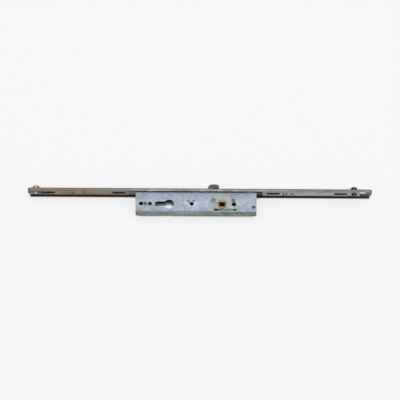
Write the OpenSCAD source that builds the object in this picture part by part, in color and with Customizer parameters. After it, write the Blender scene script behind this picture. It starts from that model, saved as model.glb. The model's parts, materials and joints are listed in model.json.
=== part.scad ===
// Multipoint door lock, lying on its side: +X runs up the door along the faceplate, +Y points out of the
// faceplate, +Z points out of the case cover. The origin is on the spindle axis, halfway through the case.

/* [Faceplate] */
// Length of the faceplate past the rails' ends
plate_past_rail = 4; // [2:0.5:30]
// Width of the faceplate's channel
plate_w = 24; // [22:0.5:26]
// Depth of the channel's legs, from the front of the faceplate
plate_d = 6; // [5.8:0.1:8]
// Thickness of the faceplate's sheet
plate_t = 1.75; // [1.5:0.05:2]
// Outer radius of the channel's bends
plate_bend_r = 2.2; // [2.1:0.1:3]
// Radius of the faceplate's end corners
plate_corner_r = 4; // [1:0.5:8]
// Diameter of the faceplate's screw holes
screw_d = 4.5; // [4:0.1:5.5]
// Diameter of the countersinks
screw_head_d = 7; // [6:0.1:7.2]
// From the lower cam to the far lower screw
lower_cam_to_screw = 30.5; // [29:0.5:33]
// From the upper cam to the far upper screw
upper_cam_to_screw = 15; // [13:0.5:40]
// From the wide lower rail's start to the near lower screw
lower_shoulder_to_screw = 8; // [6:0.5:20]
// From the wide upper rail's start to the near upper screw
upper_shoulder_to_screw = 27; // [24:0.5:32]
// Diameter of the hole for the cylinder's fixing screw
cyl_screw_d = 5.5; // [5:0.1:6.5]
// Fixing screw hole, below the cylinder's round
cyl_screw_below = 9; // [6:0.5:12]

/* [Case] */
// From the front of the faceplate to the spindle axis
backset = 30; // [29:0.5:35]
// From the lower screw sleeve's middle to the case's lower end
case_past_sleeve = 9.4; // [8:0.1:20]
// Length of the case above the spindle axis
case_above = 60; // [56:0.5:70]
// From the spindle axis to the rear wall's outer face
case_rear = 14.3; // [13.5:0.1:17]
// Thickness of the closed case
case_t = 16; // [14.5:0.1:18]
// Gap between the channel's legs and the case
case_gap = 0.5; // [0.2:0.1:1.5]
// Thickness of the tray's and the cover's sheet
sheet_t = 1.5; // [1.2:0.1:1.6]
// Radius of the rear wall's lower corners
case_corner_r = 3; // [1:0.1:5]
// Outer radius of the tray's bends and of the cover's rear edge
case_bend_r = 2; // [1.8:0.1:2.1]
// Width of the lugs that reach the faceplate
lug_w = 14; // [12:0.5:16]
// Width of the tenons riveted in the faceplate
tenon_w = 9; // [6:0.5:11]
// Diameter of the posts between tray and cover
post_d = 5; // [4:0.1:5.5]
// Diameter of the posts' riveted ends
post_tenon_d = 3.2; // [2.5:0.1:3.6]
// Diameter of the riveted heads
post_head_d = 6.6; // [5:0.1:7.4]
// Height of the riveted heads
rivet_head_h = 0.6; // [0.3:0.1:1]
// Bore of the sleeves for the handle plate's screws
sleeve_bore_d = 7; // [5.2:0.1:7.2]
// Outside diameter of these sleeves
sleeve_d = 9; // [8:0.1:9.4]
// Diameter of the small hole beside the lower sleeve
small_hole_d = 6; // [3:0.1:6.2]

/* [Profile cylinder] */
// From the spindle axis to the cylinder's axis
cylinder_distance = 92; // [85:0.5:105]
// Diameter of the profile cylinder's round
cyl_round_d = 17; // [16.5:0.1:17.5]
// Width of the profile cylinder's foot
cyl_foot_w = 10; // [9:0.1:11]
// Height of the profile cylinder
cyl_h = 33; // [31:0.5:34]
// Room round the profile cylinder
cyl_gap = 0.25; // [0.1:0.05:0.5]

/* [Follower] */
// Width of the square spindle
spindle_w = 8; // [7:0.5:8.5]
// Room round the spindle
spindle_gap = 0.1; // [0.05:0.05:0.2]
// Wall of the follower's journals at the corners of the spindle hole
journal_wall = 0.6; // [0.4:0.1:1]
// Shoulder between a journal and the follower's hub
hub_shoulder = 0.8; // [0.5:0.1:1]
// Wall of the brass bushes
bush_wall = 1.8; // [1.5:0.05:3]
// How far a bush stands out of the case
bush_proud = 1.2; // [0.7:0.1:1.6]
// Bevel of a bush's rims
bush_bevel = 0.4; // [0.2:0.1:0.6]
// Turn of the follower, in degrees
turn = 60; // [54:1:62]
// Radius from the axis to the drive arm's nose
arm_r = 17; // [16.5:0.1:17.4]
// Diameter of the drive arm's nose
arm_nose_d = 6; // [5.4:0.1:6.4]
// Diameter of the return arm's nose
return_nose_d = 4.4; // [4:0.1:4.6]

/* [Drive rails] */
// Width of the rails
rail_w = 15; // [14:0.5:18]
// Thickness of the rails
rail_t = 2; // [1.8:0.1:2.2]
// Width of the screw slots in the rails
slot_w = 7; // [6:0.1:8]
// Lower cam, below the spindle axis
lower_cam = 324; // [300:1:900]
// Upper cam, above the spindle axis
upper_cam = 230; // [200:1:900]
// Length of a rail past its cam
rail_past_cam = 10; // [9:0.5:20]
// From the case's lower end to the start of the wide lower rail
lower_shoulder_gap = 13; // [11:0.5:20]
// From the case's upper end to the start of the wide upper rail
upper_shoulder_gap = 11; // [5:0.5:20]
// Diameter of the rail rivets
rivet_d = 4; // [3:0.1:5]

/* [Roller cams] */
// Diameter of a roller
roller_d = 12; // [11:0.1:14]
// Height of a roller
roller_h = 6.7; // [5:0.1:9]
// Diameter of the journal that a roller turns on
roller_journal_d = 5; // [4:0.1:6]
// Diameter of the collar that runs in the faceplate's slot
collar_d = 8; // [7.2:0.1:9]
// Diameter of the shank riveted in the rail
shank_d = 6; // [5:0.1:6.5]
// Diameter of the washer behind the rail
washer_d = 10; // [9:0.1:12.5]
// Thickness of the washer and of the pin's two heads
washer_t = 0.8; // [0.5:0.1:1.2]

/* [Latch] */
// Middle of the latch bolt, below the spindle axis
latch_below = 14.8; // [14.6:0.1:16]
// Width of the latch bolt
latch_w = 19.2; // [17:0.1:19.4]
// How far the latch bolt stands out of the faceplate
latch_throw = 10.5; // [9:0.1:10.8]
// Length of the latch bolt behind the front of the faceplate
latch_tail = 6; // [5.4:0.1:6.6]
// Radius of the latch bolt's lower corner
latch_corner_r = 7.2; // [2:0.1:7.6]
// Width of the slope at the latch bolt's upper corner
latch_slope_w = 5; // [2:0.1:9]
// Height of this slope
latch_slope_h = 1.6; // [0.5:0.1:3]
// Length of the latch bolt's bevel
latch_bevel = 8; // [4:0.1:9]
// Lip at each side that stops the latch bolt
latch_lip = 1.2; // [0.6:0.1:1.6]
// Diameter of the latch rod
rod_d = 4; // [3.6:0.1:4.2]
// From the latch bolt's middle to the latch rod
latch_to_rod = 3.2; // [2.6:0.1:3.6]
// Diameter of the latch lever's post
lever_post_d = 4; // [3:0.1:4.4]
// Sheet of the latch guide
guide_t = 0.9; // [0.7:0.1:1]
// Wire of the latch spring
latch_wire_d = 0.7; // [0.5:0.05:0.8]
// Turns of the latch spring
latch_spring_turns = 6; // [4:1:8]

/* [Return slide] */
// Lower end of the cover's slot, below the spindle axis
cover_slot_below = 23.8; // [16:0.1:26]
// Upper end of the cover's slot, above the spindle axis
cover_slot_above = 24.3; // [23:0.1:30]
// Width of the cover's slot
cover_slot_w = 3; // [2:0.1:3.4]
// From the rear wall to the middle of the cover's slot
rear_to_slot = 3.9; // [3.4:0.1:4.4]
// Height of the return slide under the cover
return_h = 6; // [5:0.1:6.4]
// Length of the return slide above its notch
return_len = 17; // [15:0.5:19]
// Length of the rib's tongue in the cover's slot, below the return slide
return_tongue = 3.4; // [1:0.1:3.6]
// Wire of the return spring
return_wire_d = 0.7; // [0.5:0.05:0.8]
// Outside diameter of the return spring
return_spring_d = 4.8; // [4:0.1:5]
// Turns of the return spring
return_spring_turns = 14; // [8:1:16]

/* [Deadlock] */
// From the cylinder's axis to the deadlock tooth
cylinder_to_tooth = 25; // [24:0.5:27]
// Width of the deadlock tooth
tooth_w = 5; // [4:0.1:6]
// Travel of the deadlock slide
deadlock_travel = 3.5; // [2.5:0.1:3.8]
// Diameter of the studs that guide the deadlock slide
stud_d = 3.2; // [2.6:0.1:3.6]

/* [Fits] */
// Radial room of turning and guided round pieces
run_gap = 0.05; // [0.03:0.01:0.09]
// Room beside sliding flat pieces
slide_gap = 0.3; // [0.2:0.05:0.4]
// Room over and under the flat moving pieces
layer_gap = 0.25; // [0.15:0.05:0.35]
// Room beside the arms' noses in their notches
nose_gap = 0.4; // [0.3:0.05:0.5]

/* [Hidden] */
$fn = 48;
// Overlap of a cutting tool past the face it cuts
cut = 1;

// Planes across the lock, from the front of the faceplate to the rear wall
front_y = backset;
plate_back_y = front_y - plate_t;
rail_front_y = plate_back_y - slide_gap;
rail_back_y = rail_front_y - rail_t;
rail_mid_y = (rail_front_y + rail_back_y) / 2;
case_front_y = front_y - plate_d - case_gap;
rear_inner_y = -case_rear + sheet_t;
cover_slot_back = case_rear - rear_to_slot;

// Layers through the case, from the tray's floor to the cover
case_z = case_t / 2;
floor_z = -case_z + sheet_t;
roof_z = case_z - sheet_t;
upper_room = 9.2;
low_t = case_t - 2 * sheet_t - upper_room;
low_z0 = floor_z + layer_gap;
low_z1 = low_z0 + low_t;
mid_z0 = low_z1 + slide_gap;
top_z = roof_z - layer_gap;

// Follower and the travels that follow from its turn
spindle_hole = spindle_w + 2 * spindle_gap;
journal_d = spindle_hole * sqrt(2) + 2 * journal_wall;
hub_d = journal_d + 2 * hub_shoulder;
bush_d = journal_d + 2 * run_gap + 2 * bush_wall;
journal_end = case_z + bush_proud - bush_bevel;
return_arm_r = case_rear - sheet_t - return_nose_d / 2 - 2 * slide_gap;
travel = 2 * arm_r * sin(turn / 2);
return_travel = 2 * return_arm_r * sin(turn / 2);

// Fixed places on the case, from the cylinder and from the case's ends
cyl_foot_x = -cylinder_distance - cyl_h + cyl_round_d / 2;
foot_to_small_hole = 8.5;
foot_to_sleeve = 24.1;
sleeve_y = 1;
small_hole = [cyl_foot_x - foot_to_small_hole, sleeve_y];
lower_sleeve_x = cyl_foot_x - foot_to_sleeve;
case_below = -lower_sleeve_x + case_past_sleeve;
tooth_below = cylinder_distance - cylinder_to_tooth;
deadlock_half_w = 8.2;
cam_reach = 12.2;
deadlock_to_sleeve = 1.7;
middle_sleeve_below = tooth_below - deadlock_half_w - sleeve_d / 2 - deadlock_to_sleeve;
upper_sleeve = [20.8, 0.4];
sleeves = [[lower_sleeve_x, sleeve_y], [-middle_sleeve_below, sleeve_y], upper_sleeve];
sleeve_to_post = sleeve_d / 2 + post_d / 2 + 0.6;
upper_post_inside = 5;
posts = [
    [lower_sleeve_x + sleeve_to_post, sleeve_y],
    [upper_sleeve[0] - 1, upper_sleeve[1] + sleeve_to_post + slide_gap],
    [case_above - upper_post_inside, -4.9]
];
lower_lug_inside = 25;
middle_lug_above_sleeve = 8;
upper_lug_inside = 12;
lug_xs = [-case_below + lower_lug_inside, middle_lug_above_sleeve - middle_sleeve_below,
          case_above - upper_lug_inside];
anchor_inside = 14.5;
anchor_x = case_above - anchor_inside;

// Latch bolt and what moves with it
latch_x0 = -latch_below - latch_w / 2;
latch_x1 = -latch_below + latch_w / 2;
latch_rear_y = front_y - latch_tail;
latch_tip_y = front_y + latch_throw;
latch_z1 = roof_z - 2 * layer_gap;
rod_z = (mid_z0 + latch_z1) / 2;
rod_seat = 5;
guide_y = 4.6;
guide_half_w = 4.8;
guide_foot = 5.5;
rod_below = latch_below + latch_to_rod;
rod_to_guide_rivet = 3;
guide_rivet_x = -rod_below + rod_to_guide_rivet;
guide_rivet_y = 8.3;
guide_rivet_d = 3;
rod_pin_d = 2.6;
guide_to_rod_pin = 3.4;
rod_pin_y = guide_y - guide_to_rod_pin;
rod_tail = 1.8;
lever_clear = 1.1;
lever_pivot_x = -middle_sleeve_below + sleeve_d / 2 + lever_post_d / 2 + lever_clear;
lever_len = -rod_below - lever_pivot_x;
lever_pivot = [lever_pivot_x, rod_pin_y - latch_throw / 2];
lever_rest = atan2(latch_throw / 2, lever_len);
lever_z0 = rod_z + rod_d / 2 + slide_gap;
lever_tip = 6.8;
lever_boss_d = lever_post_d + 3;
finger_end = 1.5;
finger_angle = 152;
finger_r = (rod_below - guide_half_w - finger_end - 2 * slide_gap) / -cos(finger_angle);

// Return slide
return_notch_x = return_arm_r * sin(turn / 2);
return_z0 = top_z - return_h;
return_web_t = 1.75;
return_web_z = top_z - return_web_t;
return_front_y = -hub_d / 2 - slide_gap;
return_wall = 3;
return_x0 = return_notch_x - return_nose_d / 2 - nose_gap - return_wall;
return_end_x = return_notch_x + return_len;
return_rib_short = 1.5;
tongue_lift = 0.15;
return_axis_y = (return_front_y + rear_inner_y) / 2;
return_axis_z = (return_z0 + top_z) / 2;

// Drive slide
notch_x = -arm_r * sin(turn / 2);
notch_half_w = arm_nose_d / 2 + nose_gap;
notch_wall = 8.5;
lug_past_nose = 1.5;
lug_y0 = arm_r * cos(turn / 2) - lug_past_nose;
lock_y0 = arm_r - 0.5;
tooth_gap = 0.7;
tooth_rest_gap = 0.5;
tooth_tip_y = lock_y0 - tooth_rest_gap;
lock_wall = 4;
lock_x0 = -tooth_below - travel - tooth_w / 2 - tooth_gap - lock_wall;
lap = 14;
lower_shoulder = case_below + lower_shoulder_gap;
upper_shoulder = case_above + upper_shoulder_gap;
lower_screw_near = lower_shoulder + lower_shoulder_to_screw;
upper_screw_near = upper_shoulder + upper_shoulder_to_screw;
lower_screw_far = lower_cam - lower_cam_to_screw;
upper_screw_far = upper_cam - upper_cam_to_screw;
lower_rail_end = lower_cam + rail_past_cam;
upper_rail_end = upper_cam + rail_past_cam;
plate_below = lower_rail_end + plate_past_rail;
plate_above = upper_rail_end + travel + plate_past_rail;
neck_room = 1;
neck_w = case_t - 2 * sheet_t - neck_room;
lower_lap_inside = 26;
upper_lap_inside = 20;
lower_lap_x = -case_below + lower_lap_inside;
upper_lap_x = case_above - upper_lap_inside;
cam_to_lower_joint = 90;
lower_joint_x = -lower_cam + cam_to_lower_joint;
lower_joint_len = 32;
screw_to_upper_joint = 8;
upper_joint_x = upper_screw_near + screw_to_upper_joint;
upper_joint_len = 20;
joint_slant = 3.5;

// Roller cams
roller_gap = 0.5;
roller_y0 = front_y + roller_gap;
roller_y1 = roller_y0 + roller_h;

// Studs of the deadlock slide
stud_half_pitch = 4;
studs_x = [-tooth_below - stud_half_pitch, -tooth_below + stud_half_pitch];
stud_y = 8;

steel = [0.62, 0.66, 0.70];
rail_brown = [0.52, 0.48, 0.44];
dark_steel = [0.36, 0.35, 0.33];
brass = [0.72, 0.58, 0.34];

// Draws its children along +Y from the point p
module along_y(p) {
    translate(p) rotate([-90, 0, 0]) children();
}

// Draws a section in Y and Z along X, from x0 to x1
module along_x(x0, x1) {
    translate([x0, 0, 0]) rotate([90, 0, 90]) linear_extrude(x1 - x0) children();
}

// Rod along Y between two planes
module y_rod(x, z, d, y0, y1) {
    along_y([x, y0, z]) cylinder(d = d, h = y1 - y0);
}

// Upright rod between two heights
module z_rod(p, d, z0, z1) {
    translate([p[0], p[1], z0]) cylinder(d = d, h = z1 - z0);
}

// Block between two corners
module block(a, b) {
    translate(a) cube(b - a);
}

// Slot through the faceplate or a rail, with round ends at x0 and x1
module plate_slot(x0, x1, w, y0, y1) {
    block([x0, y0, -w / 2], [x1, y1, w / 2]);
    for (x = [x0, x1]) y_rod(x, 0, w, y0, y1);
}

// Flat arm from the axis, tapering from r0 to r1 over its length, with a round nose
module taper_arm(r0, r1, length, nose_d) {
    lean = acos((r0 - r1) / length);
    polygon([
        [r0 * cos(lean), -r0 * sin(lean)], [length + r1 * cos(lean), -r1 * sin(lean)],
        [length + r1 * cos(lean), r1 * sin(lean)], [r0 * cos(lean), r0 * sin(lean)]
    ]);
    circle(r = r0);
    translate([length, 0]) circle(d = nose_d);
}

// Faceplate

// Section of the channel in Y and Z, drawn in by inset: open at the back, with round front corners
module channel_section(inset) {
    half_w = plate_w / 2 - inset;
    r = plate_bend_r - inset;
    y0 = front_y - plate_d - inset;
    y1 = front_y - inset;
    translate([y0, -half_w]) square([y1 - r - y0, 2 * half_w]);
    translate([y0, r - half_w]) square([y1 - y0, 2 * (half_w - r)]);
    for (z = [-1, 1]) translate([y1 - r, z * (half_w - r)]) circle(r = r);
}

// Rolled channel whose flat web runs out past its legs as a tongue with round corners
module faceplate() {
    x0 = -plate_below + plate_corner_r;
    x1 = plate_above - plate_corner_r;
    web_half_w = plate_w / 2 - plate_bend_r;
    color(steel) difference() {
        union() {
            along_x(x0, x1) difference() {
                channel_section(0);
                channel_section(plate_t);
            }
            block([-plate_below, plate_back_y, plate_corner_r - web_half_w],
                  [plate_above, front_y, web_half_w - plate_corner_r]);
            block([x0, plate_back_y, -web_half_w], [x1, front_y, web_half_w]);
            for (x = [x0, x1])
                for (z = [-1, 1])
                    y_rod(x, z * (web_half_w - plate_corner_r), 2 * plate_corner_r, plate_back_y, front_y);
        }
        block([latch_x0 - slide_gap, plate_back_y - cut, mid_z0 - slide_gap],
              [latch_x1 + slide_gap, front_y + cut, latch_z1 + slide_gap]);
        for (x = [-lower_cam, upper_cam])
            plate_slot(x, x + travel, collar_d + 2 * slide_gap, plate_back_y - cut, front_y + cut);
        for (x = [-lower_screw_far, -lower_screw_near, upper_screw_near, upper_screw_far]) {
            y_rod(x, 0, screw_d, plate_back_y - cut, front_y + cut);
            countersink = (screw_head_d - screw_d) / 2;
            along_y([x, front_y - countersink, 0])
                cylinder(d1 = screw_d, d2 = screw_head_d, h = countersink);
        }
        y_rod(-cylinder_distance - cyl_screw_below, 0, cyl_screw_d, plate_back_y - cut, front_y + cut);
        for (x = lug_xs)
            for (z = [-1, 1])
                tenon(x, z, plate_back_y - cut, front_y + cut);
    }
}

// Tenon of a case lug, on the cover's side with side = 1 and on the tray's with side = -1
module tenon(x, side, y0, y1) {
    z_mid = side * (case_z - sheet_t / 2);
    block([x - tenon_w / 2, y0, z_mid - sheet_t / 2], [x + tenon_w / 2, y1, z_mid + sheet_t / 2]);
}

// Case

// Lugs and tenons that hold the tray or the cover to the faceplate
module case_lugs(side) {
    z_mid = side * (case_z - sheet_t / 2);
    for (x = lug_xs) {
        block([x - lug_w / 2, case_front_y - cut, z_mid - sheet_t / 2],
              [x + lug_w / 2, plate_back_y, z_mid + sheet_t / 2]);
        tenon(x, side, case_front_y, front_y);
    }
}

// Holes that go through both the tray and the cover
module case_holes() {
    through = case_t + 2 * cut;
    translate([-cylinder_distance, 0, -case_z - cut]) {
        cylinder(d = cyl_round_d + 2 * cyl_gap, h = through);
        foot_end = -cylinder_distance - cyl_foot_x - cyl_foot_w / 2;
        translate([-foot_end, -cyl_foot_w / 2 - cyl_gap, 0])
            cube([foot_end, cyl_foot_w + 2 * cyl_gap, through]);
        translate([-foot_end, 0, 0]) cylinder(d = cyl_foot_w + 2 * cyl_gap, h = through);
    }
    z_rod([0, 0], bush_d, -case_z - cut, case_z + cut);
    for (p = sleeves) z_rod(p, sleeve_bore_d, -case_z - cut, case_z + cut);
    z_rod(small_hole, small_hole_d, -case_z - cut, case_z + cut);
    for (p = posts) z_rod(p, post_tenon_d, -case_z - cut, case_z + cut);
    z_rod([guide_rivet_x, guide_rivet_y], guide_rivet_d, -case_z - cut, case_z + cut);
}

// Half of a section that runs from a bend at the origin to the right and up, out to the corner [w, h]
module bend_section(r, w, h) {
    translate([r, 0]) square([w - r, h]);
    translate([0, r]) square([w, h - r]);
    translate([r, r]) circle(r = r);
}

// Section of the tray in X and Z, drawn in by inset, with its two ends bent up to z1
module tray_section(inset, z1) {
    w = case_below + case_above - 2 * inset;
    h = z1 + case_z - inset;
    intersection() {
        translate([inset - case_below, inset - case_z]) bend_section(case_bend_r - inset, w, h);
        translate([case_above - inset, inset - case_z]) mirror([1, 0])
            bend_section(case_bend_r - inset, w, h);
    }
}

// Floor of the case with both ends bent up to the cover
module case_tray() {
    color(steel) difference() {
        union() {
            translate([0, case_front_y, 0]) rotate([90, 0, 0]) linear_extrude(case_front_y - rear_inner_y)
                difference() {
                    tray_section(0, roof_z);
                    tray_section(sheet_t, roof_z + cut);
                }
            case_lugs(-1);
        }
        case_holes();
    }
}

// Section in Y and Z of the case from its rear wall to its front, round at the rear upper edge
module case_section() {
    translate([-case_rear, case_z]) mirror([0, 1])
        bend_section(case_bend_r, case_rear + case_front_y, case_t);
}

// Face of the case, with the slot of the return slide and the tab of its spring
module case_cover() {
    color(steel) {
        difference() {
            union() {
                along_x(-case_below, case_above) intersection() {
                    case_section();
                    translate([-case_rear, roof_z]) square([case_rear + case_front_y, sheet_t]);
                }
                case_lugs(1);
            }
            case_holes();
            slot_r = cover_slot_w / 2;
            block([-cover_slot_below + slot_r, -cover_slot_back - slot_r, roof_z - cut],
                  [cover_slot_above - slot_r, -cover_slot_back + slot_r, case_z + cut]);
            for (x = [-cover_slot_below + slot_r, cover_slot_above - slot_r])
                z_rod([x, -cover_slot_back], cover_slot_w, roof_z - cut, case_z + cut);
        }
        block([anchor_x, rear_inner_y + 2 * slide_gap, return_z0 - cut],
              [anchor_x + sheet_t, return_front_y, roof_z]);
    }
}

// Rear wall under the cover's rear edge, with round lower corners
module rear_wall() {
    color(steel) intersection() {
        along_x(-case_below, case_above) intersection() {
            case_section();
            translate([-case_rear, -case_z]) square([sheet_t, case_t - sheet_t]);
        }
        translate([0, rear_inner_y + cut, 0]) rotate([90, 0, 0]) linear_extrude(sheet_t + 2 * cut) {
            translate([-case_below, case_corner_r - case_z]) square([case_below + case_above, case_t]);
            for (x = [-case_below + case_corner_r, case_above - case_corner_r])
                translate([x, case_corner_r - case_z]) circle(r = case_corner_r);
            translate([case_corner_r - case_below, -case_z])
                square([case_below + case_above - 2 * case_corner_r, case_corner_r]);
        }
    }
}

// Peened head on the case's cover, with a bevelled rim and the punch's dimple
module rivet_head(p, d) {
    rim = 0.3 * rivet_head_h;
    bevel = 0.7 * rivet_head_h;
    dimple = 0.2 * d;
    translate([p[0], p[1], case_z]) rotate_extrude()
        polygon([[0, 0], [d / 2, 0], [d / 2, rim], [d / 2 - bevel, rivet_head_h], [dimple, rivet_head_h],
                 [0, rim]]);
}

// Shouldered posts that carry the cover, riveted over on both faces of the case
module case_posts() {
    color(dark_steel) for (p = posts) {
        z_rod(p, post_d, floor_z, roof_z);
        z_rod(p, post_tenon_d, -case_z, case_z);
        for (side = [0, 1]) mirror([0, 0, side]) rivet_head(p, post_head_d);
    }
}

// Sleeves that keep the case from being crushed by the handle plate's screws
module screw_sleeves() {
    color(steel) for (p = sleeves) difference() {
        z_rod(p, sleeve_d, floor_z, roof_z);
        z_rod(p, sleeve_bore_d, floor_z - cut, roof_z + cut);
    }
}

// Follower

// Ring that carries a journal of the follower, flush inside the case
module bush() {
    r0 = journal_d / 2 + run_gap;
    r1 = bush_d / 2;
    top = case_z + bush_proud;
    rotate_extrude()
        polygon([[r0, roof_z], [r1, roof_z], [r1, top - bush_bevel], [r1 - bush_bevel, top],
                 [r0 + bush_bevel, top], [r0, top - bush_bevel]]);
}

module cover_bush() {
    color(brass) bush();
}

module tray_bush() {
    color(brass) mirror([0, 0, 1]) bush();
}

// Hub with the spindle's square hole, the arm that drives the rails, the return arm and the latch's finger
module follower() {
    arm_root = 4.5;
    arm_neck = 1.6;
    return_root = 3.2;
    return_neck = 1;
    finger_root = 3.2;
    color([0.45, 0.34, 0.26]) difference() {
        union() {
            z_rod([0, 0], hub_d, low_z0, top_z);
            z_rod([0, 0], journal_d, -journal_end, journal_end);
            translate([0, 0, low_z0]) linear_extrude(low_t)
                rotate(90 + turn / 2) taper_arm(arm_root, arm_neck, arm_r, arm_nose_d);
            translate([0, 0, mid_z0]) linear_extrude(return_web_z - slide_gap - mid_z0)
                rotate(turn / 2 - 90) taper_arm(return_root, return_neck, return_arm_r, return_nose_d);
            translate([0, 0, lever_z0]) linear_extrude(top_z - lever_z0)
                rotate(finger_angle) taper_arm(finger_root, finger_end, finger_r, 2 * finger_end);
        }
        translate([-spindle_hole / 2, -spindle_hole / 2, -journal_end - cut])
            cube([spindle_hole, spindle_hole, 2 * (journal_end + cut)]);
    }
}

// Drive rails

// Strip in the rail plane: lap0 and lap1 are the lengths of its half laps and front tells which half is kept
module rail_strip(x0, x1, w, lap0, front0, lap1, front1) {
    y0 = rail_back_y;
    y1 = rail_front_y;
    block([x0 + lap0, y0, -w / 2], [x1 - lap1, y1, w / 2]);
    if (lap0 > 0)
        block([x0, front0 ? rail_mid_y : y0, -w / 2], [x0 + lap0, front0 ? y1 : rail_mid_y, w / 2]);
    if (lap1 > 0)
        block([x1 - lap1, front1 ? rail_mid_y : y0, -w / 2], [x1, front1 ? y1 : rail_mid_y, w / 2]);
}

// Room for a faceplate screw over the whole travel of the rail
module screw_slot(x) {
    plate_slot(x - travel, x, slot_w, rail_back_y - cut, rail_front_y + cut);
}

// The two rivets of each joint, from the lower end of the lock to its upper end
rivet_inside = 4;
joint_rivet_inside = 6;
rivet_pairs = [
    [lower_joint_x - lower_joint_len + joint_rivet_inside, lower_joint_x - joint_rivet_inside],
    [lower_lap_x - lap + rivet_inside, lower_lap_x - rivet_inside],
    [upper_lap_x + rivet_inside, upper_lap_x + lap - rivet_inside],
    [upper_joint_x + joint_rivet_inside, upper_joint_x + upper_joint_len - rivet_inside]
];

module rivet_holes() {
    for (pair = rivet_pairs)
        for (x = pair) y_rod(x, 0, rivet_d, rail_back_y - cut, rail_front_y + cut);
}

module rail_rivets() {
    head_h = 0.3;
    head_d = rivet_d + 2;
    color(dark_steel) for (pair = rivet_pairs)
        for (x = pair) {
            y_rod(x, 0, rivet_d, rail_back_y, rail_front_y);
            y_rod(x, 0, head_d, rail_back_y - head_h, rail_back_y);
        }
}

// Bar across the case with the lug that the follower's arm drives and the notches of the deadlock
module drive_slide() {
    color(dark_steel) difference() {
        union() {
            block([lower_lap_x - lap, rail_mid_y, low_z0], [upper_lap_x + lap, rail_front_y, neck_w / 2]);
            block([lower_lap_x, rail_back_y, low_z0], [upper_lap_x, rail_mid_y, neck_w / 2]);
            block([lock_x0, lock_y0, low_z0], [notch_x + notch_half_w + notch_wall, rail_front_y, low_z1]);
            block([notch_x - notch_half_w - notch_wall, lug_y0, low_z0],
                  [notch_x + notch_half_w + notch_wall, rail_front_y, low_z1]);
        }
        // Window for the latch bolt over the whole travel
        block([latch_x0 - latch_lip - travel - slide_gap, rail_back_y - cut, low_z1],
              [latch_x1 + latch_lip + slide_gap, rail_front_y + cut, case_z]);
        // Notch of the follower's arm
        block([notch_x - notch_half_w, lug_y0 - cut, low_z0 - cut],
              [notch_x + notch_half_w, arm_r + arm_nose_d / 2 + nose_gap, low_z1 + cut]);
        // Notches of the deadlock tooth at both ends of the travel
        for (x = [-tooth_below, -tooth_below - travel])
            block([x - tooth_w / 2 - tooth_gap, lock_y0 - cut, low_z0 - cut],
                  [x + tooth_w / 2 + tooth_gap, tooth_tip_y + deadlock_travel + tooth_gap, low_z1 + cut]);
        cyl_screw_x = -cylinder_distance - cyl_screw_below;
        plate_slot(cyl_screw_x - travel, cyl_screw_x, slot_w, rail_back_y - cut, rail_front_y + cut);
        rivet_holes();
    }
}

module lower_link() {
    color(rail_brown) difference() {
        union() {
            rail_strip(lower_joint_x - lower_joint_len, -lower_shoulder, rail_w, lower_joint_len, true, 0,
                       true);
            rail_strip(-lower_shoulder, lower_lap_x, neck_w, 0, true, lap, false);
        }
        screw_slot(-lower_screw_near);
        rivet_holes();
    }
}

module lower_rail() {
    color(rail_brown) difference() {
        rail_strip(-lower_rail_end, lower_joint_x, rail_w, 0, true, lower_joint_len, false);
        screw_slot(-lower_screw_far);
        y_rod(-lower_cam, 0, shank_d, rail_back_y - cut, rail_front_y + cut);
        rivet_holes();
    }
}

module upper_link() {
    color(steel) difference() {
        union() {
            rail_strip(upper_lap_x, upper_shoulder, neck_w, lap, false, 0, true);
            rail_strip(upper_shoulder, upper_joint_x + upper_joint_len, rail_w, 0, true, upper_joint_len,
                       true);
        }
        screw_slot(upper_screw_near);
        rivet_holes();
    }
}

module upper_rail() {
    color(steel) difference() {
        rail_strip(upper_joint_x, upper_rail_end, rail_w, upper_joint_len, false, 0, true);
        // Slanted end of the lap
        along_y([upper_joint_x, rail_back_y - cut, 0]) linear_extrude(rail_t / 2 + cut)
            polygon([[-cut, -rail_w / 2 - cut], [0, -rail_w / 2 - cut], [joint_slant, rail_w / 2 + cut],
                     [-cut, rail_w / 2 + cut]]);
        screw_slot(upper_screw_far);
        y_rod(upper_cam, 0, shank_d, rail_back_y - cut, rail_front_y + cut);
        rivet_holes();
    }
}

// Roller cams

// Stepped pin of a roller cam, riveted behind the rail and in front of the roller
module cam_pin(x) {
    back_head_d = shank_d + 2;
    front_head_d = roller_journal_d + 3;
    y0 = roller_y0 - run_gap;
    y1 = roller_y1 + run_gap;
    color(dark_steel) {
        y_rod(x, 0, shank_d, rail_back_y - washer_t, rail_front_y);
        y_rod(x, 0, back_head_d, rail_back_y - 2 * washer_t, rail_back_y - washer_t);
        y_rod(x, 0, collar_d, rail_front_y, y0);
        y_rod(x, 0, roller_journal_d, y0, y1);
        y_rod(x, 0, front_head_d, y1, y1 + washer_t);
    }
}

module lower_cam_pin() {
    cam_pin(-lower_cam);
}

module upper_cam_pin() {
    cam_pin(upper_cam);
}

module cam_washers() {
    color(steel) for (x = [-lower_cam, upper_cam]) difference() {
        y_rod(x, 0, washer_d, rail_back_y - washer_t, rail_back_y);
        y_rod(x, 0, shank_d, rail_back_y - washer_t - cut, rail_back_y + cut);
    }
}

// Roller with eased rims, turning on its pin
module roller(x) {
    rim = 0.8;
    r0 = roller_journal_d / 2 + run_gap;
    r1 = roller_d / 2;
    color(dark_steel) along_y([x, roller_y0, 0]) rotate_extrude()
        polygon([[r0, 0], [r1 - rim, 0], [r1, rim], [r1, roller_h - rim], [r1 - rim, roller_h],
                 [r0, roller_h]]);
}

module lower_roller() {
    roller(-lower_cam);
}

module upper_roller() {
    roller(upper_cam);
}

// Latch

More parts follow.
